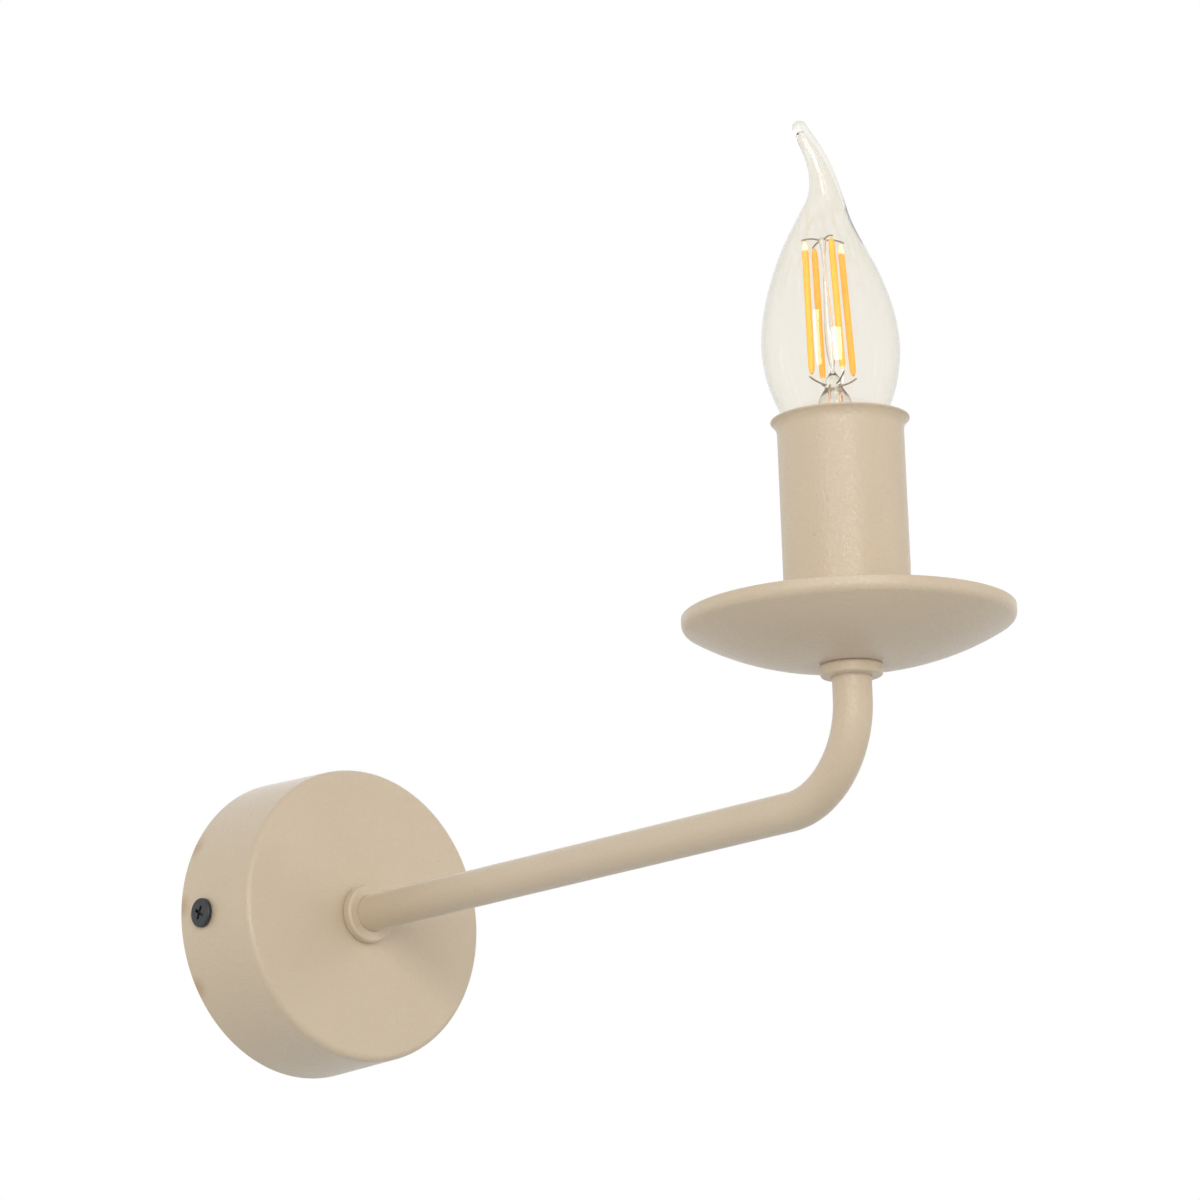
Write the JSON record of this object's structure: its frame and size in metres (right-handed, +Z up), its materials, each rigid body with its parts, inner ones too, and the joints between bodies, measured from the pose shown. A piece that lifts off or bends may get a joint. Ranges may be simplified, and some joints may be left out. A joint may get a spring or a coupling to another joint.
{
  "type": "wall sconce",
  "caption": "Wall sconce: round wall cup, bent tube arm, drip pan, flared candle sleeve and a screw-in bent-tip candle bulb.",
  "frame": {"origin": "on the wall, at the middle of the bracket's two wall slots, which is the centre of the round wall cup", "axes": "+Y into the wall, so the arm runs along -Y; +Z up; +X to the right of someone who faces the wall"},
  "size_m": [0.0846, 0.2675, 0.2163],
  "materials": {
    "beige_paint": "matte beige powder coat",
    "black_screw": "black oxide",
    "zinc_steel": "zinc plated",
    "brass": "plain brass",
    "white_plastic": "moulded",
    "black_plastic": "moulded",
    "cream_ceramic": "unglazed",
    "brown_wire": "wire insulation",
    "blue_wire": "wire insulation",
    "green_wire": "wire insulation",
    "cap_nickel": "nickel plated",
    "black_insulator": "moulded",
    "amber_glass": "clear, pale amber tint",
    "clear_glass": "clear",
    "phosphor": "yellow-orange coating",
    "lead_nickel": "plain wire",
    "circuit_board": "coated board"
  },
  "bodies": {
    "sconce": {"wall_cup": "beige_paint", "front_collar": "beige_paint", "arm_tube": "beige_paint", "upper_collar": "beige_paint", "drip_pan": "beige_paint", "candle_sleeve": "beige_paint", "wall_bracket": "zinc_steel", "arm_washer": "zinc_steel", "arm_nut": "zinc_steel", "earth_screw": "zinc_steel", "block_screw": "zinc_steel", "sleeve_washer": "zinc_steel", "sleeve_nut": "zinc_steel", "holder_bush": "zinc_steel", "terminal_screws": "zinc_steel", "holder_screws": "zinc_steel", "arm_earth_tag": "brass", "bracket_earth_tag": "brass", "terminal_tubes": "brass", "centre_contact": "brass", "side_contact": "brass", "terminal_block": "white_plastic", "holder_dome": "black_plastic", "holder_skirt": "black_plastic", "holder_core": "cream_ceramic", "live_wire": "brown_wire", "neutral_wire": "blue_wire", "earth_wire": "green_wire"},
    "bulb_contact": {"bulb_eyelet": "brass"},
    "bulb": {"bulb_insulator": "black_insulator", "bulb_cap": "cap_nickel", "bulb_driver": "circuit_board", "bulb_glass": "amber_glass", "bulb_stem": "clear_glass", "bulb_filaments": "phosphor", "bulb_leads": "lead_nickel"},
    "left_screw": {"cup_screw_left": "black_screw"},
    "right_screw": {"cup_screw_right": "black_screw"}
  },
  "joints": [
    {"name": "bulb_rise", "type": "slide", "parent": "sconce", "child": "bulb_contact", "axis": [-0.0232, 0.0198, 0.9995], "range_m": [0, 0.00988]},
    {"name": "bulb_turn", "type": "hinge", "parent": "bulb_contact", "child": "bulb", "pos_m": [0, -0.2255, 0.06596], "axis": [-0.0232, 0.0198, 0.9995], "range_deg": [0, 1260]},
    {"name": "left_screw_turn", "type": "hinge", "parent": "sconce", "child": "left_screw", "pos_m": [-0.0412, -0.0095, 0], "axis": [-1, 0, 0], "range_deg": [0, 2520]},
    {"name": "right_screw_turn", "type": "hinge", "parent": "sconce", "child": "right_screw", "pos_m": [0.0412, -0.0095, 0], "axis": [1, 0, 0], "range_deg": [0, 2520]}
  ],
  "couplings": [
    {"joint": "bulb_rise", "follows": "bulb_turn", "m_per_rad": 0.00044882}
  ]
}
